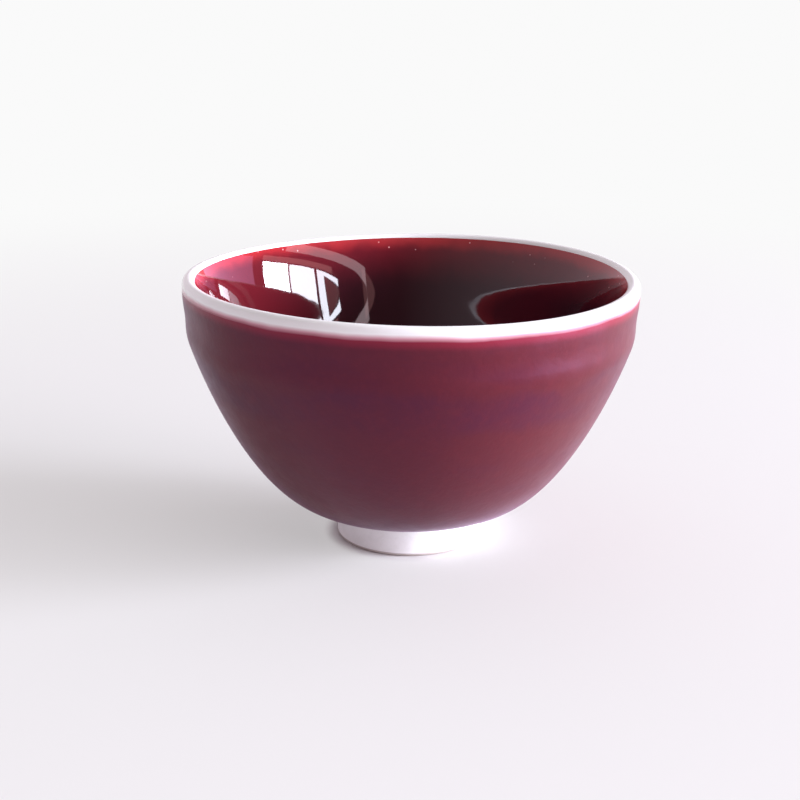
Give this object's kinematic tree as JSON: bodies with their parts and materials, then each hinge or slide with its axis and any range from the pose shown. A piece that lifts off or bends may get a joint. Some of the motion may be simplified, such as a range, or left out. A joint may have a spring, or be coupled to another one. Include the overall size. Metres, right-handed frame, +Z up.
{
  "type": "sake cup",
  "caption": "Small porcelain sake cup on a foot ring, copper-red glaze inside and out, white lip and bare foot.",
  "frame": {"origin": "centre of the foot ring, in the plane of the face that stands on the table", "axes": "+Z up along the axis the cup was turned on; the cup is round, so X and Y are alike"},
  "size_m": [0.068, 0.068, 0.0414],
  "materials": {
    "porcelain": "bare, wiped smooth",
    "satin_copper_red": "satin, mottled",
    "gloss_copper_red": "mirror gloss",
    "clear_glaze": "gloss over white clay"
  },
  "bodies": {
    "root": {"porcelain_body": "porcelain", "outer_glaze": "satin_copper_red", "inner_glaze": "gloss_copper_red", "rim_glaze": "clear_glaze", "foot_well_glaze": "clear_glaze"}
  },
  "joints": []
}
